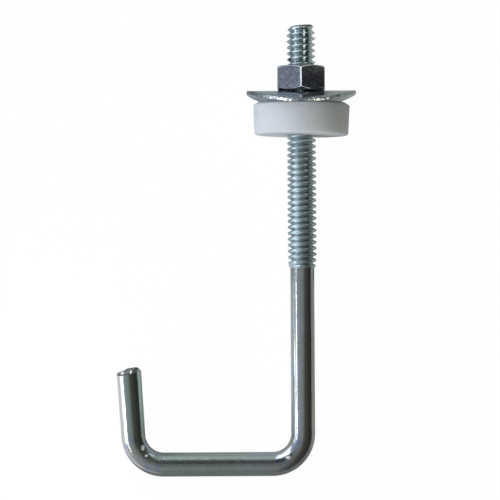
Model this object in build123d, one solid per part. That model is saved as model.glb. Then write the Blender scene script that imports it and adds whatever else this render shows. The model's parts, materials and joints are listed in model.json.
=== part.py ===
from build123d import *
import math
import os

# Hook bolt for fixing roof sheets to a purlin: a bent rod with a rolled thread, its hexagon nut,
# a curved sheet-metal washer and a thick plastic sealing washer.
# Millimetres, +Z up. The origin is on the floor, under the middle of the bolt as it lies.
# Each piece is built upright, with the threaded leg along +Z over the hook's corner, the short leg
# towards -X and the front towards -Y. The four pieces are then laid down together.

# Rod, cold bent from one round bar
ROD_DIAMETER = 5.1
OVERALL_LENGTH = 95.8       # from the hook's underside to the end of the thread
HOOK_SPAN = 35.6            # between the axes of the two legs, at their corners
BEND_RADIUS = 6.5           # of the rod's axis, the same at both corners
SHORT_LEG_HEIGHT = 22.5     # from the hook's underside to the middle of the sheared end
SHORT_LEG_LEAN = 4.2        # degrees, outwards
SHEAR_SLOPE = 20.0          # degrees, of the sheared end, rising towards the long leg
SHEAR_WASTE = 6.0           # bar beyond the sheared end, cut away
SHEAR_ROUNDING = 0.3        # of the edge that the shear squeezes

# Thread, 1/4 inch with 20 turns to the inch, shown here at its crests
THREAD_DIAMETER = 6.15
THREAD_PITCH = 1.27
THREAD_DEPTH_SHARE = 0.613  # crest to root, as a share of the pitch
THREAD_LENGTH = 51.7        # from the end of the bolt to the start of the run-out
RUN_OUT_TURNS = 1           # over which the crests fade down to the bar

# Hexagon nut
NUT_ACROSS_FLATS = 10.0
NUT_HEIGHT = 5.2
NUT_CHAMFER_ANGLE = 30.0    # degrees, of the turned chamfer at both ends
NUT_FACE_DIAMETER = 9.5     # of the flat left inside the chamfer
NUT_CORNER_ROUNDING = 0.3
NUT_TURN = 30.0             # degrees, so that a corner faces the front
NUT_BORE_CHAMFER = 0.45
NUT_THREAD_CLEARANCE = 0.05
THREAD_STANDOUT = 8.9       # of the thread beyond the nut

# Curved washer, a round blank bent about one line, its crown towards the nut
WASHER_DIAMETER = 23.2      # of the flat blank
WASHER_SHEET = 0.85
WASHER_BEND_RADIUS = 28.5   # of the crowned face
WASHER_HOLE_DIAMETER = 7.0
WASHER_EDGE_CHAMFER = 0.3   # of the rim's hollow side, rolled over as the blank was stamped
SEAT_CLEARANCE = 0.05       # between each piece of the stack and the next

# Sealing washer
SEAL_DIAMETER = 20.4
SEAL_FOOT_DIAMETER = 19.9   # at the underside, after the mould's draft
SEAL_THICKNESS = 6.9
SEAL_CHAMFER_WIDTH = 1.05   # of the top edge, measured across
SEAL_CHAMFER_HEIGHT = 0.6
SEAL_FOOT_ROUNDING = 0.4
SEAL_BORE_CLEARANCE = 0.08

# Places along the upright leg, and radii, that follow from those sizes
ROD_RADIUS = ROD_DIAMETER / 2
THREAD_RADIUS = THREAD_DIAMETER / 2
THREAD_DEPTH = THREAD_DEPTH_SHARE * THREAD_PITCH
THREAD_END = OVERALL_LENGTH - ROD_RADIUS
RUN_OUT_START = THREAD_END - THREAD_LENGTH
THREAD_START = RUN_OUT_START + RUN_OUT_TURNS * THREAD_PITCH
NUT_TOP = THREAD_END - THREAD_STANDOUT
NUT_BOTTOM = NUT_TOP - NUT_HEIGHT
CROWN = NUT_BOTTOM - SEAT_CLEARANCE
BEND_AXIS = CROWN - WASHER_BEND_RADIUS
WASHER_INNER_RADIUS = WASHER_BEND_RADIUS - WASHER_SHEET
WASHER_NEUTRAL_RADIUS = WASHER_BEND_RADIUS - WASHER_SHEET / 2
RIM_ANGLE = WASHER_DIAMETER / 2 / WASHER_NEUTRAL_RADIUS
SEAL_FLAT_RADIUS = SEAL_DIAMETER / 2 - SEAL_CHAMFER_WIDTH
SEAL_TOP = BEND_AXIS + math.sqrt(WASHER_INNER_RADIUS**2 - SEAL_FLAT_RADIUS**2) - SEAT_CLEARANCE
SEAL_BOTTOM = SEAL_TOP - SEAL_THICKNESS
SHORT_LEG_TOP = SHORT_LEG_HEIGHT - ROD_RADIUS

# How many turns the nut has each way, off the thread's end and down to the run-out
NUT_TURNS_OFF = THREAD_STANDOUT / THREAD_PITCH
NUT_TURNS_ON = (NUT_BOTTOM - THREAD_START) / THREAD_PITCH


def short_leg_axis(height):
    """The point at this height on the axis of the short, leaning leg"""
    return Vector(-HOOK_SPAN - height * math.tan(math.radians(SHORT_LEG_LEAN)), 0, height)


def rod_axis():
    """The axis of the bent bar, from past the sheared end round the hook to the thread's run-out"""
    return FilletPolyline(
        short_leg_axis(SHORT_LEG_TOP + SHEAR_WASTE),
        short_leg_axis(0),
        (0, 0, 0),
        (0, 0, RUN_OUT_START),
        radius=BEND_RADIUS,
    )


def threaded_leg():
    """The threaded end as its outer envelope: run-out, crests and the turned lead at the tip"""
    root = THREAD_RADIUS - THREAD_DEPTH
    outline = Polyline(
        (0, RUN_OUT_START),
        (ROD_RADIUS, RUN_OUT_START),
        (THREAD_RADIUS, THREAD_START),
        (THREAD_RADIUS, THREAD_END - THREAD_DEPTH),
        (root, THREAD_END),
        (0, THREAD_END),
        close=True,
    )
    return revolve(Plane.XZ * make_face(outline), Axis.Z)


def sheared_off():
    """The waste beyond the slanting cut across the short leg"""
    slope = math.radians(SHEAR_SLOPE)
    cut = Plane(
        origin=short_leg_axis(SHORT_LEG_TOP),
        x_dir=(math.cos(slope), 0, math.sin(slope)),
        z_dir=(-math.sin(slope), 0, math.cos(slope)),
    )
    side = 2 * (ROD_DIAMETER + SHEAR_WASTE)
    return cut * Box(side, side, side, align=(Align.CENTER, Align.CENTER, Align.MIN))


def hook_rod():
    """The bent bar with its threaded leg and its sheared short leg"""
    axis = rod_axis()
    bar = sweep(Plane(axis @ 0, z_dir=axis % 0) * Circle(ROD_RADIUS), path=axis)
    bar = bar - sheared_off()
    sheared_face = bar.faces().filter_by(GeomType.PLANE).sort_by(Axis.X)[0]
    bar = fillet(sheared_face.edges(), SHEAR_ROUNDING)
    return bar + threaded_leg()


def hex_nut():
    """The nut, with a corner to the front, chamfered at both ends"""
    flats = RegularPolygon(NUT_ACROSS_FLATS / 2, 6, major_radius=False, rotation=NUT_TURN)
    prism = extrude(fillet(flats.vertices(), NUT_CORNER_ROUNDING), NUT_HEIGHT)
    face = NUT_FACE_DIAMETER / 2
    corner = NUT_ACROSS_FLATS / math.sqrt(3)
    drop = (corner - face) * math.tan(math.radians(NUT_CHAMFER_ANGLE))
    section = Polyline(
        (0, 0),
        (face, 0),
        (corner, drop),
        (corner, NUT_HEIGHT - drop),
        (face, NUT_HEIGHT),
        (0, NUT_HEIGHT),
        close=True,
    )
    turned = revolve(Plane.XZ * make_face(section), Axis.Z)
    bore = THREAD_RADIUS + NUT_THREAD_CLEARANCE
    nut = (prism & turned) - Cylinder(bore, NUT_HEIGHT, align=(Align.CENTER, Align.CENTER, Align.MIN))
    circles = nut.edges().filter_by(GeomType.CIRCLE)
    mouths = circles.filter_by(lambda edge: math.isclose(edge.radius, bore))
    return Pos(0, 0, NUT_BOTTOM) * chamfer(mouths, NUT_BORE_CHAMFER)


def bent_outline(radius, height):
    """What a circle on the flat blank becomes, seen from the bend's axis, on a level at this height"""
    steps = 16
    points = []
    for i in range(steps):
        turn = 2 * math.pi * i / steps
        bend = radius * math.sin(turn) / WASHER_NEUTRAL_RADIUS
        points.append(Vector(radius * math.cos(turn), height * math.tan(bend)))
    even_steps = [i / steps for i in range(steps + 1)]
    rim = Edge.make_spline(points, periodic=True, parameters=even_steps)
    return Pos(0, 0, height) * make_face(rim)


def punch(radius):
    """A punch that cuts square to the bent sheet all round a circle of the flat blank"""
    below = WASHER_INNER_RADIUS * math.cos(RIM_ANGLE) - WASHER_SHEET
    above = WASHER_BEND_RADIUS + WASHER_SHEET
    return loft([bent_outline(radius, below), bent_outline(radius, above)], ruled=True)


def curved_washer():
    """The round blank bent about a line across the front, with its punched hole"""
    length = 2 * WASHER_DIAMETER
    tube = Cylinder(WASHER_BEND_RADIUS, length) - Cylinder(WASHER_INNER_RADIUS, length)
    bent_sheet = Rot(0, 90, 0) * tube
    blank = bent_sheet & punch(WASHER_DIAMETER / 2)
    hollow_face = blank.faces().filter_by(GeomType.CYLINDER).sort_by(Axis.Z)[0]
    blank = chamfer(hollow_face.edges(), WASHER_EDGE_CHAMFER)
    return Pos(0, 0, BEND_AXIS) * (blank - punch(WASHER_HOLE_DIAMETER / 2))


def sealing_washer():
    """The thick plastic ring, with a chamfer under the metal washer and a drafted, rounded foot"""
    bore = THREAD_RADIUS + SEAL_BORE_CLEARANCE
    outer = SEAL_DIAMETER / 2
    foot = SEAL_FOOT_DIAMETER / 2
    section = make_face(Polyline(
        (bore, SEAL_BOTTOM),
        (foot, SEAL_BOTTOM),
        (outer, SEAL_TOP - SEAL_CHAMFER_HEIGHT),
        (SEAL_FLAT_RADIUS, SEAL_TOP),
        (bore, SEAL_TOP),
        close=True,
    ))
    foot_corner = section.vertices().group_by(Axis.Y)[0].sort_by(Axis.X)[-1]
    return revolve(Plane.XZ * fillet(foot_corner, SEAL_FOOT_ROUNDING), Axis.Z)


def resting_tilt(reach, height):
    """Degrees between the thread and the floor when the hook and the point this far back touch it"""
    return math.degrees(math.acos(ROD_RADIUS / math.hypot(reach, height)) - math.atan2(height, reach))


def lying_tilt():
    """The bolt lies on its hook and on whichever rim of the stack is met first"""
    rim_reach = WASHER_BEND_RADIUS * math.sin(RIM_ANGLE)
    rim_height = BEND_AXIS + WASHER_BEND_RADIUS * math.cos(RIM_ANGLE)
    return max(
        resting_tilt(rim_reach, rim_height),
        resting_tilt(SEAL_DIAMETER / 2, SEAL_TOP - SEAL_CHAMFER_HEIGHT),
        resting_tilt(SEAL_FOOT_DIAMETER / 2, SEAL_BOTTOM),
    )


def upright_pieces():
    """Every piece by its name, as the bolt stands on its hook"""
    return {
        "hook_rod": hook_rod(),
        "hex_nut": hex_nut(),
        "curved_washer": curved_washer(),
        "sealing_washer": sealing_washer(),
    }


def resting_place(pieces):
    """The move that lays the upright bolt on its back, its lowest points on the floor"""
    turn = Rot(lying_tilt() - 90, 0, 0)
    boxes = [(turn * piece).bounding_box() for piece in pieces]
    middle_x = (min(box.min.X for box in boxes) + max(box.max.X for box in boxes)) / 2
    middle_y = (min(box.min.Y for box in boxes) + max(box.max.Y for box in boxes)) / 2
    floor = min(box.min.Z for box in boxes)
    return Pos(-middle_x, -middle_y, -floor) * turn


os.makedirs("parts", exist_ok=True)
upright = upright_pieces()
place = resting_place(upright.values())
for name, piece in upright.items():
    export_step(place * piece, f"parts/{name}.step")
    print(name, round(piece.volume, 1), "mm3")
print("The thread leans", round(lying_tilt(), 2), "degrees to the floor")
print("The nut has", round(NUT_TURNS_OFF, 1), "turns off and", round(NUT_TURNS_ON, 1), "turns on")
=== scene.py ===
# %% [markdown]
# # A hook bolt for roof sheets
# A zinc-plated bar is bent into a hook at one end and has a rolled thread at the other. A hexagon
# nut, a curved metal washer and a thick white plastic washer sit on the thread.
# The frame below holds the exact solids that the machines need. This lesson dresses them: it models
# the thread's real helix, the sheared and stamped edges and the plating, and then lights them.

# %% Load the frame
import json
import math

import bmesh
import bpy
from mathutils import Matrix, Vector, noise


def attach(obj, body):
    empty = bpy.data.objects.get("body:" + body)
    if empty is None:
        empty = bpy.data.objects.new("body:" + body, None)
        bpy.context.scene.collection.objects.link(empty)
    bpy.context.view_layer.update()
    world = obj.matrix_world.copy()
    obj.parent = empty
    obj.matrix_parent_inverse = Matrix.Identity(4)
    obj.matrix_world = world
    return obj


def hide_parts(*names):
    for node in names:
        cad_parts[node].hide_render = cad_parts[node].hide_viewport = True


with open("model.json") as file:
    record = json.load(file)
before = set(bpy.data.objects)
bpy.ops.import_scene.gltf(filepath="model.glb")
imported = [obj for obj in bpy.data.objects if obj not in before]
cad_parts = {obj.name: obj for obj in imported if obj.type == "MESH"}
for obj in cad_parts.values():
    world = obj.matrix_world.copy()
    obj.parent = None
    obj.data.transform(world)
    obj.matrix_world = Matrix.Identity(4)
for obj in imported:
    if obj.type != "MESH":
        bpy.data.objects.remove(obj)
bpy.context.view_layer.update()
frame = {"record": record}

# %% [markdown]
# ## Sizes
# Every piece is modelled upright, as the bolt stands on its hook: the thread points up along Z, the
# hook reaches towards -X and the front looks towards -Y. Heights start at the middle of the hook's
# bottom run. The sizes are in millimetres, because a thread of 1.27 mm is too fine for tools whose
# tolerances are set for metres. One move at the end scales each piece down and lays it in its place.
# Two places closer than SAME_PLACE count as one.

# %% Sizes of the bar and its thread
MM = 0.001
SAME_PLACE = 0.01
ROD_RADIUS = 2.547
BEND_RADIUS = 6.5
HOOK_SPAN = 35.6
SHORT_LEG_TOP = 19.95
SHORT_LEG_LEAN = math.radians(4.2)
SHEAR_SLOPE = math.radians(16)
THREAD_PITCH = 1.27
THREAD_RADIUS = 3.05
THREAD_DEPTH = 0.79
THREAD_END = 93.25
RUN_OUT_START = 41.55
print("The thread has", round((THREAD_END - RUN_OUT_START) / THREAD_PITCH, 1), "turns")

# %% Sizes of the nut and the two washers
NUT_TOP = 84.35
NUT_BOTTOM = 79.15
NUT_ACROSS_FLATS = 10.0
NUT_FACE_RADIUS = 4.75
NUT_CHAMFER = math.radians(30)
CROWN = 79.10
WASHER_RADIUS = 11.6
WASHER_HOLE_RADIUS = 3.5
WASHER_SHEET = 0.85
WASHER_BEND_RADIUS = 28.5
SEAL_TOP = 76.642
SEAL_BOTTOM = 69.742
SEAL_RADIUS = 10.2
SEAL_FOOT_RADIUS = 9.95
SEAL_FLAT_RADIUS = 9.15
SEAL_BORE_RADIUS = 3.155
print("The nut is", round(NUT_TOP - NUT_BOTTOM, 2), "mm high")

# %% [markdown]
# ## Laying the upright bolt down
# The record keeps one mount at the end of the thread, with its place and the direction of the bolt's
# axis. That is enough to find the move from the upright bolt to the one that lies on its back.

# %% The move from upright to lying
thread_end = next(mount for mount in frame["record"]["mounts"] if mount["name"] == "thread_end")
bolt_axis = Vector(thread_end["axis"])
lean_back = math.atan2(bolt_axis.z, bolt_axis.y) - math.pi / 2
LAY_DOWN = (
    Matrix.Translation(thread_end["pos_m"])
    @ Matrix.Rotation(lean_back, 4, "X")
    @ Matrix.Scale(MM, 4)
    @ Matrix.Translation((0, 0, -THREAD_END))
)
print("The hook's corner lies at", [round(side, 4) for side in LAY_DOWN @ Vector((0, 0, 0))])


# %% Helpers for one piece at a time
MERGE_DISTANCE = 0.001
CUT_TOLERANCE = 0.0001
SLIT_SIDES = 4


def take_up(piece):
    """Makes this piece the only selected one"""
    bpy.ops.object.select_all(action="DESELECT")
    piece.select_set(True)
    bpy.context.view_layer.objects.active = piece


def name_new(name):
    """Names the primitive just added and moves its place into its mesh"""
    piece = bpy.context.object
    piece.name = piece.data.name = name
    bpy.ops.object.transform_apply(location=True, rotation=True, scale=True)
    return piece


def edit(piece, select="VERT"):
    """Opens a piece in edit mode with nothing selected"""
    take_up(piece)
    bpy.ops.object.mode_set(mode="EDIT")
    bpy.ops.mesh.select_mode(type=select)
    bpy.ops.mesh.select_all(action="DESELECT")


def select_points(piece, test):
    """In edit mode, selects the points whose place passes the test, and what they span"""
    shape = bmesh.from_edit_mesh(piece.data)
    for point in shape.verts:
        point.select = test(point.co)
    shape.select_flush_mode()
    bmesh.update_edit_mesh(piece.data)


def select_faces(piece, test):
    """In edit mode, selects the faces that pass the test"""
    shape = bmesh.from_edit_mesh(piece.data)
    for face in shape.faces:
        face.select = test(face)
    bmesh.update_edit_mesh(piece.data)


def select_open_edges(piece, low, high):
    """In edit mode, selects the edges round a hole that lies between two heights"""
    shape = bmesh.from_edit_mesh(piece.data)
    for edge in shape.edges:
        edge.select = edge.is_boundary and all(low < end.co.z < high for end in edge.verts)
    bmesh.update_edit_mesh(piece.data)


def done():
    """Leaves edit mode"""
    bpy.ops.object.mode_set(mode="OBJECT")


def extrude(way):
    """In edit mode, pulls new metal out of what is selected"""
    bpy.ops.mesh.extrude_region_move(TRANSFORM_OT_translate={"value": way})


def trim(place, way, **settings):
    """In edit mode, cuts what is selected along a plane that faces this way"""
    bpy.ops.mesh.bisect(plane_co=place, plane_no=way, threshold=CUT_TOLERANCE, **settings)


def apply_modifier(piece, kind, **settings):
    """Adds a modifier, sets it and applies it"""
    take_up(piece)
    modifier = piece.modifiers.new(kind.lower(), kind)
    for setting, value in settings.items():
        setattr(modifier, setting, value)
    bpy.ops.object.modifier_apply(modifier=modifier.name)


def face_outwards(piece):
    """Merges double points, closes small slits and turns every face to the outside"""
    edit(piece)
    bpy.ops.mesh.select_all(action="SELECT")
    bpy.ops.mesh.remove_doubles(threshold=MERGE_DISTANCE)
    bpy.ops.mesh.fill_holes(sides=SLIT_SIDES)
    bpy.ops.mesh.normals_make_consistent(inside=False)
    done()


def lay_down(piece):
    """Scales the upright piece to metres and lays it in its place, with the place in its mesh"""
    take_up(piece)
    piece.matrix_world = LAY_DOWN
    bpy.ops.object.transform_apply(location=True, rotation=True, scale=True)


# %% [markdown]
# ## The thread
# The thread is rolled: flat dies squeeze a helical groove into the bar and push the metal up into a
# ridge, so its crests stand outside the bar. One ridge is drawn as a zigzag line of root, flank and
# crest, its corners are rounded with a vertex bevel, and the Screw modifier winds it up the bolt.
# The line starts where the crests fall in the right places on both sides of the bolt. The same
# function winds the nut's tap further down, with a wider crest and a little spare all round.

# %% One ridge of the thread
RIGHT_CREST = 40.67
CREST_FLAT = 0.10
ROOT_FLAT = 0.14
CORNER_ROUNDING = 0.045
ROUNDING_STEPS = 3
THREAD_STEPS = 56


def thread_ridge(name, turns, first_crest, crest_flat, spare=0.0):
    """Winds one ridge up the bolt, with its crests and roots moved out by the spare"""
    bpy.ops.mesh.primitive_plane_add(size=1, location=(0, 0, 0))
    piece = name_new(name)
    edit(piece)
    bpy.ops.mesh.select_all(action="SELECT")
    bpy.ops.mesh.merge(type="CENTER")
    root = THREAD_RADIUS - THREAD_DEPTH + spare
    bpy.ops.transform.translate(value=(root, 0, first_crest - THREAD_PITCH / 2))
    flank = (THREAD_PITCH - crest_flat - ROOT_FLAT) / 2
    half_root, rise, fall = (0, ROOT_FLAT / 2), (THREAD_DEPTH, flank), (-THREAD_DEPTH, flank)
    for outwards, up in (half_root, rise, (0, crest_flat), fall, half_root):
        extrude((outwards, 0, up))
    low = first_crest - THREAD_PITCH / 2 + ROOT_FLAT / 4
    high = first_crest + THREAD_PITCH / 2 - ROOT_FLAT / 4
    select_points(piece, lambda place: low < place.z < high)
    bpy.ops.mesh.bevel(affect="VERTICES", offset=CORNER_ROUNDING, segments=ROUNDING_STEPS)
    done()
    apply_modifier(
        piece, "SCREW", axis="Z", angle=math.tau, screw_offset=THREAD_PITCH, iterations=turns,
        steps=THREAD_STEPS, render_steps=THREAD_STEPS,
        use_merge_vertices=True, merge_threshold=MERGE_DISTANCE,
    )
    print(name, "has", len(piece.data.polygons), "faces")
    return piece


# %% Wind the thread
thread_turns = math.ceil((THREAD_END - RIGHT_CREST) / THREAD_PITCH) + 1
threaded_leg = thread_ridge("threaded_leg", thread_turns, RIGHT_CREST, CREST_FLAT)

# %% [markdown]
# ## The two ends of the thread
# At the tip the blank was tapered before rolling, so the first turns are low, and the end was
# cropped a little out of square. At the bottom the dies ran out: the groove gets shallow within a
# turn, and the last crest steps down to the plain bar. The lower crests are blunt and the upper ones
# sharp. All of it is shaped by moving the thread's own points. Both ends are then trimmed, and the
# hole at the tip is closed with one face.

# %% Fade the thread at both ends
GROOVE_FADE_TURNS = 0.75
SHOULDER_TOP = 42.15
SHOULDER_RADIUS = 2.9
RUN_OUT_END = 45.4
LEAD = 2.1
DOME_RADIUS = 2.3
DOME_HEIGHT = 0.1
TIP_RADIUS = 2.12
TIP_SLANT = (-0.08, 0, 1)
TIP_CUT = 0.34
JOINT_GAP = 0.03
BLUNT_BELOW = 69.0
SHARP_ABOVE = 84.0
BLUNT_CREST = 2.8


def blend(value, low, high):
    """Goes smoothly from 0 at low to 1 at high; low may be the larger of the two"""
    share = min(1, max(0, (value - low) / (high - low)))
    return share * share * (3 - 2 * share)


def reach_at(height):
    """The furthest that the metal reaches from the axis at a height"""
    if height < SHOULDER_TOP:
        return ROD_RADIUS + (SHOULDER_RADIUS - ROD_RADIUS) * blend(height, RUN_OUT_START, SHOULDER_TOP)
    out_of_run_out = (height - SHOULDER_TOP) / (RUN_OUT_END - SHOULDER_TOP)
    run_out = SHOULDER_RADIUS + (THREAD_RADIUS - SHOULDER_RADIUS) * out_of_run_out
    below_end = THREAD_END - height
    if below_end < DOME_HEIGHT:
        return TIP_RADIUS + (DOME_RADIUS - TIP_RADIUS) * math.sqrt(max(0, below_end) / DOME_HEIGHT)
    lead = DOME_RADIUS + (THREAD_RADIUS - DOME_RADIUS) * math.sqrt((below_end - DOME_HEIGHT) / LEAD)
    return min(THREAD_RADIUS, run_out, lead)


def fade_ends(piece, first_crest):
    """Lowers the ridge towards both ends, and blunts its lower crests"""
    root = THREAD_RADIUS - THREAD_DEPTH
    for point in piece.data.vertices:
        place = point.co
        radius = math.hypot(place.x, place.y)
        turn = math.atan2(place.y, place.x) % math.tau / math.tau
        turns_up = (place.z - first_crest) / THREAD_PITCH - turn
        groove_height = first_crest + (round(turns_up + 0.5) + turn - 0.5) * THREAD_PITCH
        depth = blend(groove_height, RUN_OUT_START, RUN_OUT_START + GROOVE_FADE_TURNS * THREAD_PITCH)
        shaped = THREAD_RADIUS - (THREAD_RADIUS - radius) * depth
        reach = reach_at(place.z)
        if THREAD_END - LEAD < place.z < THREAD_END - DOME_HEIGHT:
            shaped = root + (shaped - root) * (reach - root) / THREAD_DEPTH
        if radius > THREAD_RADIUS - CORNER_ROUNDING:
            crest_height = first_crest + (round(turns_up) + turn) * THREAD_PITCH
            blunt = 1 + (BLUNT_CREST - 1) * blend(place.z, SHARP_ABOVE, BLUNT_BELOW)
            place.z = crest_height + (place.z - crest_height) * blunt
        shaped = min(shaped, reach)
        place.x *= shaped / radius
        place.y *= shaped / radius


fade_ends(threaded_leg, RIGHT_CREST)
edit(threaded_leg, "EDGE")
for height, way, side in (
    (THREAD_END - TIP_CUT, TIP_SLANT, "clear_outer"),
    (RUN_OUT_START + JOINT_GAP, (0, 0, 1), "clear_inner"),
):
    bpy.ops.mesh.select_all(action="SELECT")
    trim((0, 0, height), way, **{side: True})
select_open_edges(threaded_leg, THREAD_END - LEAD, THREAD_END)
bpy.ops.mesh.edge_face_add()
done()
print("The thread now ends at", round(max(point.co.z for point in threaded_leg.data.vertices), 2))

# %% [markdown]
# ## The bar
# The bar is one round section carried along its path, as the bender does it: straight down the
# shank, round the first bend, along the bottom run, round the second bend and up the short leg.
# A circle is extruded along the straights and spun round the bends, and its last edge loop is
# bridged to the thread's.

# %% Bend the bar
BAR_SIDES = 72
BEND_STEPS = 22
SHEAR_WASTE = 6.0


def bend(angle, centre_x):
    """In edit mode, carries the bar's end round a bend in the hook's plane"""
    bpy.ops.mesh.spin(
        steps=BEND_STEPS, angle=angle, center=(centre_x, 0, BEND_RADIUS), axis=(0, -1, 0),
        use_auto_merge=False,
    )


short_leg_way = Vector((-math.sin(SHORT_LEG_LEAN), 0, math.cos(SHORT_LEG_LEAN)))
second_turn = math.pi / 2 - SHORT_LEG_LEAN
second_bend_start = -HOOK_SPAN + BEND_RADIUS * math.tan(second_turn / 2)
short_leg_foot = Vector((-HOOK_SPAN, 0, 0)) + short_leg_way * BEND_RADIUS * math.tan(second_turn / 2)

bpy.ops.mesh.primitive_circle_add(vertices=BAR_SIDES, radius=ROD_RADIUS, location=(0, 0, RUN_OUT_START))
bar = name_new("hook_bar")
edit(bar)
bpy.ops.mesh.select_all(action="SELECT")
extrude((0, 0, BEND_RADIUS - RUN_OUT_START))
bend(math.pi / 2, -BEND_RADIUS)
extrude((second_bend_start + BEND_RADIUS, 0, 0))
bend(second_turn, second_bend_start)
leg_length = (SHORT_LEG_TOP + SHEAR_WASTE - short_leg_foot.z) / short_leg_way.z
extrude(short_leg_way * leg_length)
done()
print("The bar's lowest point is", round(min(point.co.z for point in bar.data.vertices), 3))

# %% [markdown]
# ## The sheared end
# The short leg was cut off with a shear, not a saw. The cut slants, also a little to the front, its
# edge is squeezed round, its face is torn and one corner broke off. The waste is cut away with a
# bisect, the cut face gets rings of points with insets, and noise then lifts and sinks them.

# %% Shear the short leg
SHEAR_TO_FRONT = math.radians(12)
SHEAR_ROUNDING = 0.22
SQUEEZED_BAND = (-0.2, 0.35)
TEAR_DEPTH = 0.2
TEAR_SIZE = 1.5
FINER_TEARS = 2.7
CUT_RINGS = (0.1, 0.35, 0.45, 0.45, 0.45)
BROKEN_CORNER = 0.8
BROKEN_BAND = (1.7, 2.7)
cut_middle = Vector((-HOOK_SPAN - SHORT_LEG_TOP * math.tan(SHORT_LEG_LEAN), 0, SHORT_LEG_TOP))
cut_way = Vector((-math.sin(SHEAR_SLOPE), -math.sin(SHEAR_TO_FRONT), math.cos(SHEAR_SLOPE))).normalized()


def on_cut(place):
    """How far a place stands above the slanting cut"""
    return (place - cut_middle).dot(cut_way)


def on_short_leg(face):
    """Whether a face of the bar stands on the short leg, above its bend"""
    middle = face.calc_center_median()
    return middle.x < -HOOK_SPAN / 2 and middle.z > BEND_RADIUS


edit(bar, "FACE")
select_faces(bar, on_short_leg)
trim(cut_middle, cut_way, use_fill=True, clear_outer=True)
select_faces(bar, lambda face: len(face.verts) > 4)
for ring_width in CUT_RINGS:
    bpy.ops.mesh.inset(thickness=ring_width)
bpy.ops.mesh.poke()
done()
torn_points = 0
for point in bar.data.vertices:
    if abs(on_cut(point.co)) < SAME_PLACE:
        tear = noise.noise(point.co / TEAR_SIZE) + 0.5 * noise.noise(point.co / TEAR_SIZE * FINER_TEARS)
        from_edge = ROD_RADIUS - (point.co - cut_middle).length
        squeezed = SHEAR_ROUNDING * (1 - blend(from_edge, *SQUEEZED_BAND))
        broken_off = BROKEN_CORNER * blend(point.co.x - cut_middle.x, *BROKEN_BAND)
        point.co += cut_way * (TEAR_DEPTH * tear - squeezed - broken_off)
        torn_points += 1
print("The shear tore", torn_points, "points of its face")

# %% Join the thread to the bar
take_up(bar)
threaded_leg.select_set(True)
bpy.ops.object.join()
hook_rod = bar
hook_rod.name = hook_rod.data.name = "hook_rod_plated"
edit(hook_rod, "EDGE")
select_open_edges(hook_rod, RUN_OUT_START - SAME_PLACE, RUN_OUT_START + JOINT_GAP + SAME_PLACE)
bpy.ops.mesh.bridge_edge_loops()
done()
face_outwards(hook_rod)
print("The rod has", len(hook_rod.data.polygons), "faces")

# %% [markdown]
# ## The nut
# A hexagon nut is sawn or forged from hexagon bar, turned to a 30 degree chamfer at both ends, bored
# and tapped. It is made here in the same order: a six-sided prism with softened corners is cut down
# to a turned blank with a Boolean, its edges are worn with a small bevel, and then it is
# countersunk and tapped with the bolt's own ridge, so the two stay in mesh. The Boolean's Manifold
# solver needs closed pieces, so every tool is closed, and reaches past the nut by the spare. The nut
# came to rest turned a little to the left of square.

# %% Helpers for edges and for cutting with a tool piece
def select_edges(piece, test):
    """In edit mode, selects the edges whose two ends pass the test"""
    shape = bmesh.from_edit_mesh(piece.data)
    for edge in shape.edges:
        edge.select = test(edge.verts[0].co, edge.verts[1].co)
    bmesh.update_edit_mesh(piece.data)


def cut_with(piece, tool, operation):
    """Cuts the piece with a closed tool piece, which is then thrown away"""
    apply_modifier(piece, "BOOLEAN", operation=operation, object=tool, solver="MANIFOLD")
    bpy.data.objects.remove(tool)


# %% Forge and turn the nut
PLATED = 0
RUBBED = 1
CORNER_WEAR = 0.16
EDGE_WEAR = 0.13
SPARE = 0.3
NUT_TURN = math.radians(-1.9)
TURNED_SIDES = 120
WORN_ABOVE_ANGLE = math.radians(25)
nut_height = NUT_TOP - NUT_BOTTOM
nut_corner = NUT_ACROSS_FLATS / math.sqrt(3)
blank_radius = nut_corner + SPARE
chamfer_drop = (blank_radius - NUT_FACE_RADIUS) * math.tan(NUT_CHAMFER)

bpy.ops.mesh.primitive_cylinder_add(
    vertices=6, radius=nut_corner, depth=nut_height + 2 * SPARE, location=(0, 0, (NUT_TOP + NUT_BOTTOM) / 2),
    rotation=(0, 0, NUT_TURN),
)
nut = name_new("hex_nut_plated")
for face_kind in (PLATED, RUBBED):
    nut.data.materials.append(None)
edit(nut, "EDGE")
select_edges(nut, lambda one, other: abs(one.z - other.z) > nut_height / 2)
bpy.ops.mesh.bevel(offset=CORNER_WEAR, segments=5, affect="EDGES", material=RUBBED)
done()

bpy.ops.mesh.primitive_circle_add(
    vertices=TURNED_SIDES, radius=NUT_FACE_RADIUS, fill_type="NGON", location=(0, 0, NUT_BOTTOM)
)
turned_blank = name_new("turned_blank")
edit(turned_blank, "FACE")
bpy.ops.mesh.select_all(action="SELECT")
widening = blank_radius / NUT_FACE_RADIUS
for up, wider in ((chamfer_drop, widening), (nut_height - 2 * chamfer_drop, 1), (chamfer_drop, 1 / widening)):
    extrude((0, 0, up))
    bpy.ops.transform.resize(value=(wider, wider, 1))
done()
face_outwards(turned_blank)
cut_with(nut, turned_blank, "INTERSECT")
apply_modifier(
    nut, "BEVEL", width=EDGE_WEAR, segments=2, material=RUBBED,
    limit_method="ANGLE", angle_limit=WORN_ABOVE_ANGLE,
)
rubbed_faces = sum(face.material_index == RUBBED for face in nut.data.polygons)
print("The turned nut has", len(nut.data.polygons), "faces,", rubbed_faces, "of them rubbed bright")

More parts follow.
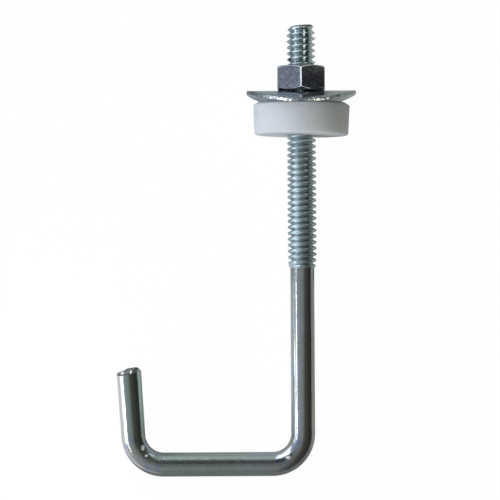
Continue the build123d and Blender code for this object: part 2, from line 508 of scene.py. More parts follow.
# %% Countersink and tap the nut
TAP_CLEARANCE = 0.05
TAP_CREST_FLAT = 0.46
COUNTERSINK_RADIUS = 3.575
COUNTERSINK_SIDES = 96
crests_below = math.floor((NUT_BOTTOM - RIGHT_CREST) / THREAD_PITCH) - 1
tap_turns = math.ceil(nut_height / THREAD_PITCH) + 3
first_tap_crest = RIGHT_CREST + crests_below * THREAD_PITCH
tap = thread_ridge("tap", tap_turns, first_tap_crest, TAP_CREST_FLAT, TAP_CLEARANCE)
edit(tap, "EDGE")
for height, way in ((NUT_TOP + SPARE, 1), (NUT_BOTTOM - SPARE, -1)):
    bpy.ops.mesh.select_all(action="SELECT")
    trim((0, 0, height), (0, 0, way), clear_outer=True)
    select_open_edges(tap, height - SAME_PLACE, height + SAME_PLACE)
    bpy.ops.mesh.edge_face_add()
done()
face_outwards(tap)
cut_with(nut, tap, "DIFFERENCE")
wide = COUNTERSINK_RADIUS + SPARE
for face_height, way, turned_over in ((NUT_TOP, 1, math.pi), (NUT_BOTTOM, -1, 0)):
    bpy.ops.mesh.primitive_cone_add(
        vertices=COUNTERSINK_SIDES, radius1=wide, radius2=0, depth=wide,
        location=(0, 0, face_height + way * (SPARE - wide / 2)), rotation=(turned_over, 0, 0),
    )
    cut_with(nut, name_new("countersink"), "DIFFERENCE")
face_outwards(nut)
print("The tapped nut has", len(nut.data.polygons), "faces")

# %% [markdown]
# ## The curved washer
# The blank is stamped from sheet: the punch rolls one edge over and leaves a torn, sparkling band
# on the cut. Then it is pressed over a former, so that it straddles the rib of a roof sheet. Here a
# ring is drawn standing, given its thickness with Solidify, has its edges bevelled as the punch
# leaves them, and is bent with Simple Deform, whose bend keeps the sheet's middle as long as it was.
# It needs several rings of faces, or the bend would have no points to move.

# %% Stamp the blank
ROLLED_EDGE = 0.22
SHARP_EDGE = 0.05
BLANK_SIDES = 144
BLANK_RINGS = 9
half_sheet = WASHER_SHEET / 2
bpy.ops.mesh.primitive_circle_add(
    vertices=BLANK_SIDES, radius=WASHER_HOLE_RADIUS, location=(0, 0, 0), rotation=(math.pi / 2, 0, 0)
)
washer = name_new("curved_washer_stamped")
edit(washer, "EDGE")
bpy.ops.mesh.select_all(action="SELECT")
ring_step = (WASHER_RADIUS / WASHER_HOLE_RADIUS) ** (1 / BLANK_RINGS)
for ring in range(BLANK_RINGS):
    bpy.ops.mesh.extrude_region_move()
    bpy.ops.transform.resize(value=(ring_step, 1, ring_step))
done()
face_outwards(washer)
apply_modifier(washer, "SOLIDIFY", thickness=WASHER_SHEET, offset=0)


def bevel_ring(piece, is_there, width, segments):
    """Bevels the ring of edges whose ends are both there"""
    edit(piece, "EDGE")
    select_edges(piece, lambda one, other: is_there(one) and is_there(other))
    bpy.ops.mesh.bevel(offset=width, segments=segments, affect="EDGES")
    done()


def on_blank(radius, depth):
    """A test for places at this distance from the standing blank's middle, and this far to the back"""
    return lambda end: (
        abs(math.hypot(end.x, end.z) - radius) < SAME_PLACE and abs(end.y - depth) < SAME_PLACE
    )


bevel_ring(washer, on_blank(WASHER_RADIUS, half_sheet), ROLLED_EDGE, 5)
bevel_ring(washer, on_blank(WASHER_RADIUS, -half_sheet), SHARP_EDGE, 2)
bevel_ring(washer, on_blank(WASHER_HOLE_RADIUS, -half_sheet), ROLLED_EDGE / 2, 3)
bevel_ring(washer, on_blank(WASHER_HOLE_RADIUS, half_sheet), SHARP_EDGE, 2)
print("The blank has", len(washer.data.polygons), "faces")

# %% Press the blank over the former
neutral_radius = WASHER_BEND_RADIUS - half_sheet
washer_bend = 2 * WASHER_RADIUS / neutral_radius
apply_modifier(washer, "SIMPLE_DEFORM", deform_method="BEND", deform_axis="X", angle=washer_bend)
washer.matrix_world = Matrix.Translation((0, 0, CROWN - half_sheet)) @ Matrix.Rotation(-math.pi / 2, 4, "X")
bpy.ops.object.transform_apply(location=True, rotation=True, scale=True)
face_outwards(washer)
print("The washer's rim comes down to", round(min(point.co.z for point in washer.data.vertices), 2))

# %% [markdown]
# ## The sealing washer
# This thick ring is moulded in white plastic. It has a little draft, so that it leaves the mould, a
# chamfer at the top, where the curved washer presses on it, and a rounded foot. Its section is
# carried round like a lathe would: a ring of edges is extruded, scaled and lifted from corner to
# corner. It sits a hair crooked under the washer, as a loose ring does.

# %% Mould the sealing washer
FOOT_ROUNDING = 0.4
MOULD_EDGE = 0.09
CHAMFER_HEIGHT = 0.6
SEAL_LEAN = math.radians(0.8)
SEAL_SIDES = 160
bpy.ops.mesh.primitive_circle_add(vertices=SEAL_SIDES, radius=SEAL_BORE_RADIUS, location=(0, 0, SEAL_BOTTOM))
seal = name_new("sealing_washer_moulded")
edit(seal, "EDGE")
bpy.ops.mesh.select_all(action="SELECT")
corners = [
    (SEAL_BORE_RADIUS, SEAL_BOTTOM),
    (SEAL_FOOT_RADIUS, SEAL_BOTTOM),
    (SEAL_RADIUS, SEAL_TOP - CHAMFER_HEIGHT),
    (SEAL_FLAT_RADIUS, SEAL_TOP),
    (SEAL_BORE_RADIUS, SEAL_TOP),
    (SEAL_BORE_RADIUS, SEAL_BOTTOM),
]
for (radius, height), (next_radius, next_height) in zip(corners, corners[1:]):
    extrude((0, 0, next_height - height))
    bpy.ops.transform.resize(value=(next_radius / radius, next_radius / radius, 1))
done()
face_outwards(seal)


def on_seal(radius, height):
    """A test for places at this distance from the bolt's axis and at this height"""
    return lambda end: (
        abs(math.hypot(end.x, end.y) - radius) < SAME_PLACE and abs(end.z - height) < SAME_PLACE
    )


bevel_ring(seal, on_seal(SEAL_FOOT_RADIUS, SEAL_BOTTOM), FOOT_ROUNDING, 5)
for radius, height in corners[2:]:
    bevel_ring(seal, on_seal(radius, height), MOULD_EDGE, 2)
seal_middle = Matrix.Translation((0, 0, (SEAL_TOP + SEAL_BOTTOM) / 2))
seal.matrix_world = seal_middle @ Matrix.Rotation(SEAL_LEAN, 4, "Y") @ seal_middle.inverted()
bpy.ops.object.transform_apply(location=True, rotation=True, scale=True)
print("The sealing washer has", len(seal.data.polygons), "faces")

# %% [markdown]
# ## Each piece on its body
# The finished pieces are laid in their places. Each one rides on the body that moves it and takes
# the place of one solid. Round forms are shaded smooth. The nut's large flats are kept flat, since
# smooth shading would bend the light across them.

# %% Lay every piece in its place on its body
SMOOTH_BELOW_ANGLE = math.radians(38)
for piece, node, body, slot in (
    (hook_rod, "hook_rod", "hook_bolt", "rod_zinc"),
    (nut, "hex_nut", "nut", "nut_zinc"),
    (washer, "curved_washer", "washers", "washer_zinc"),
    (seal, "sealing_washer", "washers", "seal_plastic"),
):
    lay_down(piece)
    bpy.ops.object.shade_smooth_by_angle(angle=SMOOTH_BELOW_ANGLE)
    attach(piece, body)
    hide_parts(node)
    print(piece.name, "rides on", body)

# %% Keep the nut's flats flat
LARGEST_ROUND_FACE = 0.8 * MM ** 2
for face in nut.data.polygons:
    face.use_smooth = face.area < LARGEST_ROUND_FACE
print("The nut keeps", sum(not face.use_smooth for face in nut.data.polygons), "flat faces")

# %% [markdown]
# ## Finishes
# Every finish reads the same upright millimetres as the modelling did: a Mapping node undoes the
# lying pose on Object coordinates. One call adds a node and joins it, so a finish reads as a recipe.

# %% Helpers for a finish
upright_again = LAY_DOWN.inverted()


class Recipe:
    """A node tree to which nodes are added and joined in one call"""

    def __init__(self, owner):
        owner.use_nodes = True
        self.tree = owner.node_tree

    def node(self, kind, settings=(), **inputs):
        """Adds a node; an input that is a socket is linked, and any other is set as a value"""
        node = self.tree.nodes.new(kind)
        for setting, value in dict(settings).items():
            setattr(node, setting, value)
        for name, value in inputs.items():
            self.feed(node.inputs[name.replace("_", " ")], value)
        return node

    def feed(self, socket, value):
        """Links a socket or sets a value"""
        if isinstance(value, bpy.types.NodeSocket):
            self.tree.links.new(value, socket)
        else:
            socket.default_value = value

    def ramp(self, value, *stops):
        """Colours or greys by value; each stop is a place and a colour"""
        node = self.node("ShaderNodeValToRGB", Fac=value)
        marks = node.color_ramp.elements
        while len(marks) < len(stops):
            marks.new(1)
        for mark, (place, colour) in zip(marks, stops):
            mark.position = place
            mark.color = (*colour, 1) if isinstance(colour, tuple) else (colour, colour, colour, 1)
        return node.outputs["Color"]

    def share(self, value, low, high):
        """Goes from 0 at low to 1 at high"""
        node = self.node("ShaderNodeMapRange", {"interpolation_type": "SMOOTHSTEP"}, Value=value)
        self.feed(node.inputs["From Min"], low)
        self.feed(node.inputs["From Max"], high)
        return node.outputs["Result"]

    def mix(self, share, one, other, blend="MIX"):
        """The one colour where the share is 0, the other where it is 1"""
        node = self.node("ShaderNodeMix", {"data_type": "RGBA", "blend_type": blend})
        self.feed(node.inputs[0], share)
        for socket, colour in ((node.inputs[6], one), (node.inputs[7], other)):
            self.feed(socket, (*colour, 1) if isinstance(colour, tuple) else colour)
        return node.outputs[2]

    def math(self, operation, *values):
        """One step of arithmetic"""
        node = self.node("ShaderNodeMath", {"operation": operation})
        for socket, value in zip(node.inputs, values):
            self.feed(socket, value)
        return node.outputs[0]

    def times(self, one, other):
        """The two multiplied"""
        return self.math("MULTIPLY", one, other)

    def between(self, value, rise, fall):
        """1 between two soft edges; each is given as where it is 0 and where it is 1"""
        return self.times(self.share(value, *rise), self.share(value, *fall))


class Finish(Recipe):
    """A material with its main shader and the object's place in upright millimetres"""

    def __init__(self, name):
        self.material = bpy.data.materials.new(name)
        super().__init__(self.material)
        self.shader = self.tree.nodes["Principled BSDF"]
        place = self.node("ShaderNodeTexCoord").outputs["Object"]
        self.place = self.node(
            "ShaderNodeMapping", Vector=place, Scale=(1 / MM, 1 / MM, 1 / MM),
            Rotation=upright_again.to_euler(), Location=upright_again.translation,
        ).outputs["Vector"]
        self.x, self.y, self.height = self.node("ShaderNodeSeparateXYZ", Vector=self.place).outputs

    def noise(self, grain, detail, stretch=(1, 1, 1)):
        """Noise whose patches are about this many millimetres wide"""
        stretched = self.node("ShaderNodeVectorMath", {"operation": "MULTIPLY"})
        self.feed(stretched.inputs[0], self.place)
        self.feed(stretched.inputs[1], stretch)
        node = self.node("ShaderNodeTexNoise", Vector=stretched.outputs[0], Scale=1 / grain, Detail=detail)
        return node.outputs["Fac"]

    def bump(self, height, depth, under=None):
        """Bumps of this depth in millimetres, over another bump if one is given"""
        node = self.node("ShaderNodeBump", Height=height, Strength=1.0, Distance=depth * MM)
        if under is not None:
            self.feed(node.inputs["Normal"], under)
        return node.outputs["Normal"]

    def spot(self, centre, reach):
        """A soft patch about a place that fades over the last quarter of its reach each way"""
        apart = self.node("ShaderNodeVectorMath", {"operation": "SUBTRACT"})
        self.feed(apart.inputs[0], self.place)
        self.feed(apart.inputs[1], centre)
        scaled = self.node("ShaderNodeVectorMath", {"operation": "DIVIDE"})
        self.feed(scaled.inputs[0], apart.outputs[0])
        self.feed(scaled.inputs[1], reach)
        length = self.node("ShaderNodeVectorMath", {"operation": "LENGTH"})
        self.feed(length.inputs[0], scaled.outputs[0])
        return self.share(length.outputs["Value"], 1.0, 0.75)

    def wear(self, **inputs):
        """Feeds the main shader"""
        for name, value in inputs.items():
            self.feed(self.shader.inputs[name.replace("_", " ")], value)
        print("Finish:", self.material.name)


# %% [markdown]
# ## Zinc on the bar
# The bar is drawn through a die, then plated, so its zinc mirrors the room with fine streaks along
# it. Low on the leg's right side it is tinted brown, and on the left of the bottom run and the short
# leg's right side green: both are painted reflections. The bottom run is darkened, a painted shade.
# At the bends the plating is faintly mottled in blue and brown and wrinkled, and three small light
# spots there are painted glints.

# %% Bright zinc on the drawn bar
# Three light spots at the bends are painted glints: matte white where the bends would mirror a bright light.
PAINTED_BEND_GLINTS = [
    ((-33.9, -2.0, 3.8), (0.42, 2.0, 0.66)),
    ((-33.2, -2.0, 2.15), (0.4, 2.0, 0.32)),
    ((-3.3, -2.0, 1.6), (0.62, 2.0, 0.4)),
]
PAINTED_GLINT_WHITE = (0.97, 0.97, 0.96)
bar_zinc = Finish("bar_zinc")
clouds = bar_zinc.share(bar_zinc.noise(7.0, 2.0), 0.4, 0.62)
cool = bar_zinc.mix(clouds, (0.52, 0.55, 0.58), (0.49, 0.51, 0.49))
# Low on the right of the leg the zinc is tinted brown, a painted warm reflection.
warm_reflection_place = bar_zinc.times(bar_zinc.share(bar_zinc.height, 34, 8), bar_zinc.share(bar_zinc.x, -1.0, 1.2))
warm_reflected = bar_zinc.mix(bar_zinc.times(warm_reflection_place, 0.8), cool, (0.56, 0.49, 0.42))
# The left of the run and the short leg's right side are tinted green, a painted reflection.
green_reflection_place = bar_zinc.between(bar_zinc.x, (-4, -22), (-38.2, -37.2))
green_reflected = bar_zinc.mix(green_reflection_place, warm_reflected, (0.48, 0.53, 0.49))
on_run = bar_zinc.share(bar_zinc.height, 4.5, 2.5)
# The bottom run's zinc is darkened, a painted shade.
painted_run_shade = bar_zinc.mix(on_run, green_reflected, (0.84, 0.83, 0.83), "MULTIPLY")
passivation = bar_zinc.ramp(
    bar_zinc.noise(1.7, 3.0),
    (0.40, (0.34, 0.35, 0.48)), (0.49, (0.46, 0.48, 0.49)), (0.60, (0.50, 0.44, 0.38)),
)
on_bends = bar_zinc.share(bar_zinc.height, 9.0, 5.5)
off_run = bar_zinc.math("MAXIMUM", bar_zinc.share(bar_zinc.x, -8, -5), bar_zinc.share(bar_zinc.x, -28, -31))
mottle_share = bar_zinc.times(bar_zinc.times(on_bends, off_run), 0.6)
mottled = bar_zinc.mix(mottle_share, painted_run_shade, passivation)
painted_bend_glints = 0.0
for place, reach in PAINTED_BEND_GLINTS:
    painted_bend_glints = bar_zinc.math("MAXIMUM", painted_bend_glints, bar_zinc.spot(place, reach))
smooth_or_dull = bar_zinc.ramp(bar_zinc.noise(0.9, 4.0), (0.3, 0.11), (0.7, 0.17))
bar_roughness = bar_zinc.math("ADD", smooth_or_dull, bar_zinc.times(on_run, 0.06))
drawn_up = bar_zinc.noise(0.55, 3.0, (1, 1, 0.07))
drawn_across = bar_zinc.noise(0.55, 3.0, (0.07, 1, 1))
die_streaks = bar_zinc.mix(bar_zinc.share(bar_zinc.height, 3.5, 6.5), drawn_across, drawn_up)
wrinkles = bar_zinc.bump(bar_zinc.times(bar_zinc.noise(0.7, 3.0), on_bends), 0.035)
streaked = bar_zinc.bump(die_streaks, 0.014, under=wrinkles)
bar_zinc.wear(
    Base_Color=bar_zinc.mix(painted_bend_glints, mottled, PAINTED_GLINT_WHITE),
    Metallic=bar_zinc.math("SUBTRACT", 1.0, painted_bend_glints),
    Roughness=bar_zinc.mix(painted_bend_glints, bar_roughness, (0.4, 0.4, 0.4)),
    Normal=bar_zinc.bump(bar_zinc.noise(2.4, 3.0), 0.05, under=streaked),
)

# %% [markdown]
# ## Zinc on the thread
# The crests are paler than the roots.
# The lower turns are a little duller, and one side of the cropped end is painted dark, a painted shade.

# %% Zinc on the rolled thread
CREST_FROM_ROOT = (THREAD_RADIUS - THREAD_DEPTH, THREAD_RADIUS - THREAD_DEPTH / 3)
thread_zinc = Finish("thread_zinc")
flat_place = thread_zinc.node("ShaderNodeCombineXYZ", X=thread_zinc.x, Y=thread_zinc.y).outputs[0]
from_axis = thread_zinc.node("ShaderNodeVectorMath", {"operation": "LENGTH"})
thread_zinc.feed(from_axis.inputs[0], flat_place)
crest_share = thread_zinc.share(from_axis.outputs["Value"], *CREST_FROM_ROOT)
patches = thread_zinc.share(thread_zinc.noise(4.0, 2.0), 0.4, 0.6)
crests = thread_zinc.mix(patches, (0.69, 0.80, 0.83), (0.69, 0.76, 0.78))
metal = thread_zinc.mix(crest_share, (0.52, 0.59, 0.60), crests)
on_tip = thread_zinc.share(thread_zinc.height, THREAD_END - 0.85, THREAD_END - 0.5)
# The right side of the cropped end is painted almost black, a painted shade.
painted_shade_tip = thread_zinc.times(on_tip, thread_zinc.share(thread_zinc.x, -1.6, -0.5))
duller = thread_zinc.times(thread_zinc.share(thread_zinc.height, 82, 72), 0.15)
thread_roughness = thread_zinc.ramp(thread_zinc.noise(0.9, 3.0), (0.3, 0.12), (0.7, 0.20))
thread_zinc.wear(
    Base_Color=thread_zinc.mix(painted_shade_tip, metal, (0.13, 0.13, 0.12)),
    Metallic=1.0,
    Roughness=thread_zinc.math("ADD", duller, thread_roughness),
    Normal=thread_zinc.bump(thread_zinc.noise(0.9, 3.0), 0.012),
)

# %% [markdown]
# ## Zinc on the nut
# The nut was plated in a barrel with many others, which leaves it darker and blotched, with its
# edges knocked bright. High on its right side it is painted lighter, a painted highlight. The front
# corner is painted white and matte, a painted highlight.

# %% Zinc on the nut, where its edges are rubbed, with painted highlights
nut_zinc = Finish("nut_zinc")
blotched = nut_zinc.ramp(
    nut_zinc.noise(0.8, 5.0),
    (0.36, (0.18, 0.19, 0.23)), (0.52, (0.24, 0.25, 0.29)), (0.7, (0.34, 0.36, 0.41)),
)
# High on the right side the nut is painted lighter, a painted highlight.
painted_highlight_high_right = nut_zinc.times(nut_zinc.share(nut_zinc.height, 81.8, 83.6), nut_zinc.share(nut_zinc.x, -2, 5))
nut_zinc.wear(
    Base_Color=nut_zinc.mix(nut_zinc.times(painted_highlight_high_right, 0.8), blotched, (0.72, 0.75, 0.78)),
    Metallic=1.0,
    Roughness=nut_zinc.ramp(nut_zinc.noise(0.5, 4.0), (0.3, 0.16), (0.7, 0.30)),
    Normal=nut_zinc.bump(
        nut_zinc.noise(1.2, 4.0), 0.03, under=nut_zinc.bump(nut_zinc.noise(0.25, 2.0), 0.004)
    ),
)
rubbed_zinc_and_corner_highlight = Finish("rubbed_edge_zinc_and_corner_highlight")
knocks = rubbed_zinc_and_corner_highlight.noise(0.5, 4.0)
# The front corner is painted white and matte, a painted highlight; the other edges keep their rubbed zinc.
painted_highlight_corner = rubbed_zinc_and_corner_highlight.share(rubbed_zinc_and_corner_highlight.math("ABSOLUTE", rubbed_zinc_and_corner_highlight.x), 2.4, 1.2)
painted_corner_white = rubbed_zinc_and_corner_highlight.ramp(knocks, (0.33, (0.50, 0.52, 0.55)), (0.45, (0.92, 0.93, 0.94)))
rubbed_zinc_and_corner_highlight.wear(
    Base_Color=rubbed_zinc_and_corner_highlight.mix(painted_highlight_corner, (0.42, 0.44, 0.48), painted_corner_white),
    Metallic=rubbed_zinc_and_corner_highlight.math("MULTIPLY_ADD", painted_highlight_corner, -0.8, 0.95),
    Roughness=rubbed_zinc_and_corner_highlight.ramp(knocks, (0.3, 0.40), (0.7, 0.28)),
    Normal=rubbed_zinc_and_corner_highlight.bump(knocks, 0.03),
)

# %% [markdown]
# ## Zinc on the curved washer
# The sheet is smooth and mirrors well. The punch tore its rim, and the plating turned the tears
# into a band of small glints. The rim's middle is painted darker, a painted shade, and it is plain
# at the two ends, where the rim turns away.

# %% Zinc on the curved washer, and its torn rim
washer_zinc = Finish("washer_zinc")
rolled_patches = washer_zinc.share(washer_zinc.noise(3.0, 3.0), 0.4, 0.65)
washer_zinc.wear(
    Base_Color=washer_zinc.mix(rolled_patches, (0.38, 0.45, 0.48), (0.36, 0.40, 0.41)),
    Metallic=1.0,
    Roughness=washer_zinc.ramp(washer_zinc.noise(0.7, 4.0), (0.3, 0.10), (0.7, 0.2)),
    Normal=washer_zinc.bump(washer_zinc.noise(1.5, 3.0), 0.010),
)
torn_zinc = Finish("torn_rim_zinc")
tears = torn_zinc.noise(0.75, 5.0)
torn_share = torn_zinc.share(torn_zinc.math("ABSOLUTE", torn_zinc.x), 9.0, 6.5)
# The rim's middle is painted darker, a painted shade.
painted_shade_middle = torn_zinc.between(torn_zinc.x, (-2.5, -2.0), (2.3, 1.8))
glinting = torn_zinc.ramp(
    tears, (0.40, (0.13, 0.15, 0.17)), (0.5, (0.50, 0.53, 0.55)), (0.57, (0.95, 0.97, 0.98))
)
torn_or_plain = torn_zinc.mix(torn_share, (0.40, 0.44, 0.47), glinting)
torn_zinc.wear(
    Base_Color=torn_zinc.mix(painted_shade_middle, torn_or_plain, (0.26, 0.28, 0.30)),
    Metallic=1.0,
    Roughness=torn_zinc.ramp(tears, (0.4, 0.42), (0.6, 0.16)),
    Normal=torn_zinc.bump(torn_zinc.times(torn_zinc.noise(0.5, 3.0), torn_share), 0.16),
)

# %% [markdown]
# ## The sheared face
# Torn steel takes little plating and looks dark grey. Two small white spots at both sides of the
# cut are painted glints.

# %% Torn zinc on the sheared end, with painted glints
# Two matte white spots on the cut are painted glints.
PAINTED_GLINTS = [
    ((-38.28, -1.0, 19.62), (0.42, 2.2, 0.46)),
    ((-36.42, -1.0, 19.7), (0.28, 2.2, 0.44)),
]
sheared_zinc = Finish("sheared_end_zinc")
grey_tears = sheared_zinc.ramp(
    sheared_zinc.noise(0.8, 4.0), (0.38, (0.045, 0.045, 0.048)), (0.6, (0.16, 0.16, 0.165))
)
painted_glints = sheared_zinc.math("MAXIMUM", *(sheared_zinc.spot(place, reach) for place, reach in PAINTED_GLINTS))
sheared_zinc.wear(
    Base_Color=sheared_zinc.mix(painted_glints, grey_tears, PAINTED_GLINT_WHITE),
    Metallic=sheared_zinc.math("SUBTRACT", 1.0, painted_glints),
    Roughness=sheared_zinc.mix(painted_glints, (0.38, 0.38, 0.38), (0.2, 0.2, 0.2)),
    Normal=sheared_zinc.bump(sheared_zinc.noise(0.7, 4.0), 0.06),
)

# %% [markdown]
# ## White plastic
# The ring is moulded in a milky plastic: light goes a little way in and comes out again, which
# softens its shading. Faint streaks run up its side, where it slid out of the mould.

# %% White plastic of the sealing washer
LIGHT_REACH = (2.4, 2.2, 2.0)
seal_plastic = Finish("seal_plastic")
smudges = seal_plastic.share(seal_plastic.noise(5.0, 4.0), 0.5, 0.75)
mould_streaks = seal_plastic.noise(0.9, 3.0, (1, 1, 0.12))
white = seal_plastic.mix(seal_plastic.times(smudges, 0.35), (0.86, 0.875, 0.90), (0.76, 0.765, 0.75))
fine_grain = seal_plastic.bump(seal_plastic.noise(0.4, 3.0), 0.008)
seal_plastic.wear(
    Base_Color=seal_plastic.mix(0.13, white, mould_streaks, "MULTIPLY"),
    Roughness=seal_plastic.ramp(seal_plastic.noise(1.2, 3.0), (0.3, 0.42), (0.7, 0.55)),
    Subsurface_Weight=0.65,
    Subsurface_Radius=LIGHT_REACH,
    Subsurface_Scale=MM,
    Normal=seal_plastic.bump(mould_streaks, 0.02, under=fine_grain),
)

# %% [markdown]
# ## Each face's finish
# A piece has one slot for each of its finishes. The rod's faces take the thread's zinc above the
# run-out and the sheared one on the cut, and the washer's rim is found by its distance along the
# bent sheet. The nut already has its worn faces marked by the bevels.

# %% Give each piece its finish
RIM_MARGIN = 0.02
JOINT_MARGIN = 0.1
CUT_MARGIN = 1.0
FACES_THE_CUT = 0.8


def finish_piece(piece, *finishes):
    """Fills the piece's slots with these finishes, in this order"""
    slots = piece.data.materials
    while len(slots) < len(finishes):
        slots.append(None)
    for kind, finish in enumerate(finishes):
        slots[kind] = finish.material


finish_piece(hook_rod, bar_zinc, thread_zinc, sheared_zinc)
finish_piece(nut, nut_zinc, rubbed_zinc_and_corner_highlight)
finish_piece(washer, washer_zinc, torn_zinc)
finish_piece(seal, seal_plastic)
for face in hook_rod.data.polygons:
    middle = upright_again @ face.center
    on_long_leg = middle.x > -HOOK_SPAN / 2
    on_thread = on_long_leg and middle.z > RUN_OUT_START + JOINT_MARGIN
    faces_cut = (upright_again.to_3x3() @ face.normal).normalized().dot(cut_way) > FACES_THE_CUT
    on_shear = faces_cut and abs(on_cut(middle)) < CUT_MARGIN and not on_long_leg
    face.material_index = 2 if on_shear else int(on_thread)
for face in washer.data.polygons:
    middle = upright_again @ face.center
    along_bend = math.atan2(middle.y, middle.z - CROWN + WASHER_BEND_RADIUS) * neutral_radius
    face.material_index = int(math.hypot(middle.x, along_bend) > WASHER_RADIUS - RIM_MARGIN)
print("Torn rim faces:", sum(face.material_index for face in washer.data.polygons))

# %% [markdown]
# ## Paper
# The bolt lies on white paper. To the camera the paper is plain white, and it still takes a soft
# shadow. Zinc mirrors its surroundings, so the paper that the metal sees is painted with light and
# shade, which decides how the bar looks: a painted bright band on the left of the shank, grey below
# it, painted shade round the thread and before the bottom run. The Light Path node tells the two apart.

# %% Paper, and what the metal sees of it
PAPER_RADIUS = 1.5
PAPER_WHITE = 1.1
FOR_THE_CAMERA = 0.88
FOR_METAL = 0.7
REACH = 0.08
bpy.ops.object.select_all(action="DESELECT")
bpy.ops.mesh.primitive_circle_add(vertices=96, radius=PAPER_RADIUS, fill_type="NGON", location=(0, 0, 0))
floor = bpy.context.object
floor.name = "paper_floor"
paper = bpy.data.materials.new("white_paper")
floor.data.materials.append(paper)
sheet = Recipe(paper)
plain = sheet.tree.nodes["Principled BSDF"]
sheet.feed(plain.inputs["Base Color"], (0.72, 0.72, 0.71, 1))
sheet.feed(plain.inputs["Roughness"], 0.9)
sheet.feed(plain.inputs["Specular IOR Level"], 0.0)
place_on_paper = sheet.node("ShaderNodeTexCoord").outputs["Object"]
from_left, from_front = sheet.node("ShaderNodeSeparateXYZ", Vector=place_on_paper).outputs[:2]
across_paper = sheet.math("MULTIPLY_ADD", from_left, 0.5 / REACH, 0.5)
# What the metal sees of the paper is painted light and painted shade, placed by where it lies on the paper.
by_the_shank = sheet.ramp(
    across_paper,
    (0.335, (1.3, 1.3, 1.38)), (0.372, (0.36, 0.40, 0.39)), (0.402, (0.42, 0.47, 0.47)),
    (0.44, (0.62, 0.69, 0.71)), (0.51, (0.76, 0.84, 0.89)), (0.565, (0.82, 0.90, 0.97)),
    (0.60, (0.43, 0.45, 0.45)), (1.0, (0.38, 0.38, 0.37)),
)
by_the_thread = sheet.ramp(
    across_paper,
    (0.385, (0.20, 0.23, 0.22)), (0.45, (0.34, 0.38, 0.39)), (0.51, (0.46, 0.51, 0.54)),
    (0.565, (0.48, 0.53, 0.57)), (0.60, (0.26, 0.28, 0.28)), (0.62, (0.26, 0.28, 0.28)),
    (0.64, (0.55, 0.56, 0.54)),
)
on_shank_and_thread = sheet.mix(sheet.share(from_front, -0.010, 0.002), by_the_shank, by_the_thread)
right_of_thread = sheet.between(from_left, (0.0148, 0.0165), (0.034, 0.027))
along_low_thread = sheet.between(from_front, (0.026, 0.018), (-0.009, -0.004))
beside_thread = sheet.times(right_of_thread, along_low_thread)
darkened = sheet.mix(beside_thread, on_shank_and_thread, (0.17, 0.19, 0.19))
before_run = sheet.times(sheet.share(from_left, -0.029, -0.022), sheet.share(from_front, -0.030, -0.038))
above_run = sheet.times(sheet.share(from_left, -0.018, -0.008), sheet.share(from_front, -0.047, -0.043))
run_colour = sheet.mix(above_run, (0.29, 0.32, 0.31), (0.48, 0.53, 0.51))
seen_by_metal = sheet.mix(before_run, darkened, run_colour)
rays = sheet.node("ShaderNodeLightPath").outputs
in_camera = rays["Is Camera Ray"]
in_metal = sheet.math("MAXIMUM", rays["Is Glossy Ray"], rays["Is Transmission Ray"])
glow_share = sheet.math("MAXIMUM", sheet.times(in_camera, FOR_THE_CAMERA), sheet.times(in_metal, FOR_METAL))
glow_colour = sheet.mix(in_camera, seen_by_metal, (PAPER_WHITE, PAPER_WHITE, PAPER_WHITE))
glow = sheet.node("ShaderNodeEmission", Color=glow_colour)
both = sheet.node("ShaderNodeMixShader", Fac=glow_share)
sheet.feed(both.inputs[1], plain.outputs[0])
sheet.feed(both.inputs[2], glow.outputs[0])
sheet.feed(sheet.tree.nodes["Material Output"].inputs["Surface"], both.outputs[0])
print("The paper is laid")

# %% [markdown]
# ## Lamps
# A long soft box low on the left draws the bright line down the bar, and a small card the one on the
# short leg. The boxes round the stack draw the rim's glints, the nut's corner, the thread's crests
# and the white ring's shading. A lamp that would spoil other pieces is linked to those it lights.

# %% Lamps
SHANK_FOOT = (0.014, -0.147, 0.008)
STACK = (0.014, 0.028, 0.012)
TIP = (0.014, 0.062, 0.013)
SHORT_LEG = (-0.024, -0.038, 0.004)


def lit_group(name, *pieces):
    """The pieces that a linked lamp lights"""
    group = bpy.data.collections.new(name)
    for piece in pieces:
        group.objects.link(piece)
    return group


def soft_box(name, aim, way, distance, size, strength, colour, lights=None, only_mirrored=False):
    """A soft box that faces a place from a way off; its size is along and across the bolt"""
    way = Vector(way).normalized()
    bpy.ops.object.light_add(type="AREA", location=Vector(aim) + way * distance)
    lamp = bpy.context.object
    lamp.name = name
    lamp.rotation_euler = way.to_track_quat("Z", "Y").to_matrix().to_euler()
    lamp.data.shape = "RECTANGLE"
    lamp.data.size, lamp.data.size_y = size
    lamp.data.color = colour
    lamp.data.energy = strength * size[0] * size[1] * math.pi
    lamp.light_linking.receiver_collection = lights
    lamp.visible_camera = False
    lamp.visible_diffuse = not only_mirrored


on_nut = lit_group("nut_lit", nut)
on_stack = lit_group("stack_lit", nut, washer, seal)
on_rod = lit_group("rod_lit", hook_rod)
soft_box("left_strip", SHANK_FOOT, (-0.888, 0, 0.46), 0.45, (0.30, 0.040), 4.5, (0.93, 0.97, 1.0))
soft_box("left_front", STACK, (-0.61, -0.62, 0.49), 0.4, (0.11, 0.11), 15.0, (0.91, 0.95, 1.0), on_stack)
soft_box("left_back", STACK, (-0.78, 0.60, 0.20), 0.55, (0.28, 0.28), 1.65, (0.87, 0.93, 1.0))
soft_box("right_front", STACK, (0.58, -0.64, 0.50), 0.25, (0.050, 0.050), 7.2, (1.0, 0.89, 0.62), on_stack)
soft_box("left_card", SHORT_LEG, (-0.96, 0, 0.27), 0.035, (0.032, 0.016), 1.9, (0.98, 0.98, 1.0))
soft_box("line_light", TIP, (0.53, 0, 0.85), 0.06, (0.05, 0.018), 1.7, (0.95, 1.0, 0.98), only_mirrored=True)
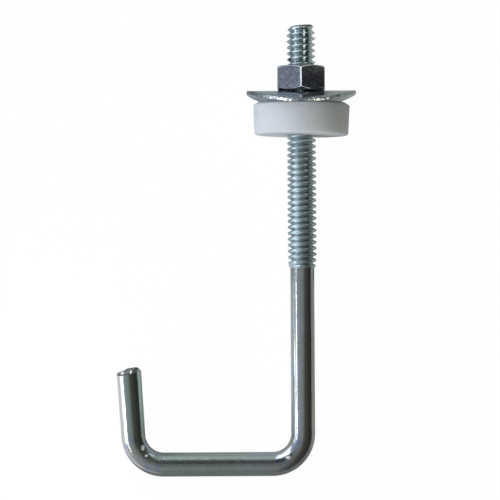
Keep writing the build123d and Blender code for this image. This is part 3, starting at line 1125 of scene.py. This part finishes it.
soft_box(
    "rim_glint", STACK, (0.55, -0.63, 0.53), 0.25, (0.055, 0.055), 11.0, (1.0, 1.0, 0.98), on_stack,
    only_mirrored=True,
)
soft_box("thread_light", STACK, (-0.50, 0.68, 0.50), 0.5, (0.30, 0.26), 4.1, (0.88, 0.97, 1.0), on_rod)
soft_box("corner_light", STACK, (-0.08, -0.22, 0.97), 0.2, (0.08, 0.08), 10.5, (0.97, 0.99, 1.0), on_nut)

# %% [markdown]
# ## Light tent
# The tent's cloth is the world. It is pale on the left and almost black on the right, where the tent
# is open. It gets lighter beyond the thread's end and a little before the hook, and a dark gap
# overhead draws the dark band down the upper thread.

# %% Light tent
DARK_GAP = 0.86
tent_world = bpy.data.worlds.new("light_tent")
bpy.context.scene.world = tent_world
tent = Recipe(tent_world)
way = tent.node("ShaderNodeTexCoord").outputs["Generated"]
way_x, way_y = tent.node("ShaderNodeSeparateXYZ", Vector=way).outputs[:2]
across = tent.ramp(
    tent.math("MULTIPLY_ADD", way_x, 0.5, 0.5),
    (0.03, (0.62, 0.67, 0.76)), (0.07, (0.48, 0.53, 0.61)), (0.13, (0.40, 0.44, 0.51)),
    (0.2, (0.34, 0.38, 0.43)), (0.42, (0.27, 0.32, 0.34)), (0.5, (0.23, 0.245, 0.24)),
    (0.58, (0.14, 0.142, 0.13)), (0.67, (0.085, 0.087, 0.08)), (0.8, (0.08, 0.082, 0.075)),
    (0.94, (0.042, 0.042, 0.038)), (1.0, (0.05, 0.051, 0.048)),
)
along = tent.ramp(
    tent.math("MULTIPLY_ADD", way_y, 0.5, 0.5),
    (0.0, (0.04, 0.04, 0.04)), (0.09, (0.10, 0.105, 0.105)), (0.17, (0.14, 0.145, 0.15)),
    (0.27, (0.07, 0.072, 0.075)), (0.38, (0.03, 0.031, 0.033)), (0.46, 0.0), (0.76, 0.0),
    (0.82, (0.26, 0.32, 0.30)), (1.0, (0.36, 0.44, 0.42)),
)
overhead = tent.between(way_x, (-0.40, -0.28), (0.10, -0.06))
beyond_nut = tent.between(way_y, (0.02, 0.09), (0.78, 0.64))
dark_gap = tent.times(tent.times(overhead, beyond_nut), DARK_GAP)
front_right = tent.times(tent.share(way_x, 0.12, 0.42), tent.share(way_y, 0.0, -0.15))
open_tent = tent.mix(1.0, across, tent.mix(front_right, along, (0.0, 0.0, 0.0)), "ADD")
tent_colour = tent.mix(dark_gap, open_tent, (0.02, 0.022, 0.03))
tent.feed(tent.tree.nodes["Background"].inputs["Color"], tent_colour)
print("The tent is lit")

# %% [markdown]
# ## Camera
# The camera looks straight down at the hook's face. Its distance, the size of a pixel and two pixels
# that are easy to find, the leg's middle and the bottom run's, place it.

# %% Camera
PHOTO_PIXELS = 500
MM_PER_PIXEL = 0.2122
CAMERA_DISTANCE = 420.0
SENSOR_WIDTH = 36
LEG_PIXEL_X = 302.15
RUN_PIXEL_Y = 464.1
ROLL = math.radians(-0.33)
half_photo = PHOTO_PIXELS / 2
aim_x = (half_photo - LEG_PIXEL_X) * MM_PER_PIXEL
aim_height = (RUN_PIXEL_Y - half_photo) * MM_PER_PIXEL
front = Vector((0, -1, 0))
camera_place = LAY_DOWN @ (Vector((aim_x, 0, aim_height)) + front * CAMERA_DISTANCE)
bpy.ops.object.camera_add(location=camera_place)
camera = bpy.context.object
camera.name = "camera"
upright_camera = Matrix.Rotation(math.pi / 2, 4, "X") @ Matrix.Rotation(ROLL, 4, "Z")
camera.rotation_euler = (LAY_DOWN.to_quaternion().to_matrix().to_4x4() @ upright_camera).to_euler()
camera.data.sensor_width = SENSOR_WIDTH
camera.data.lens = SENSOR_WIDTH * CAMERA_DISTANCE / (PHOTO_PIXELS * MM_PER_PIXEL)
bpy.context.scene.camera = camera
bpy.context.scene.view_settings.view_transform = "Standard"
print("The camera looks through a", round(camera.data.lens), "mm lens")
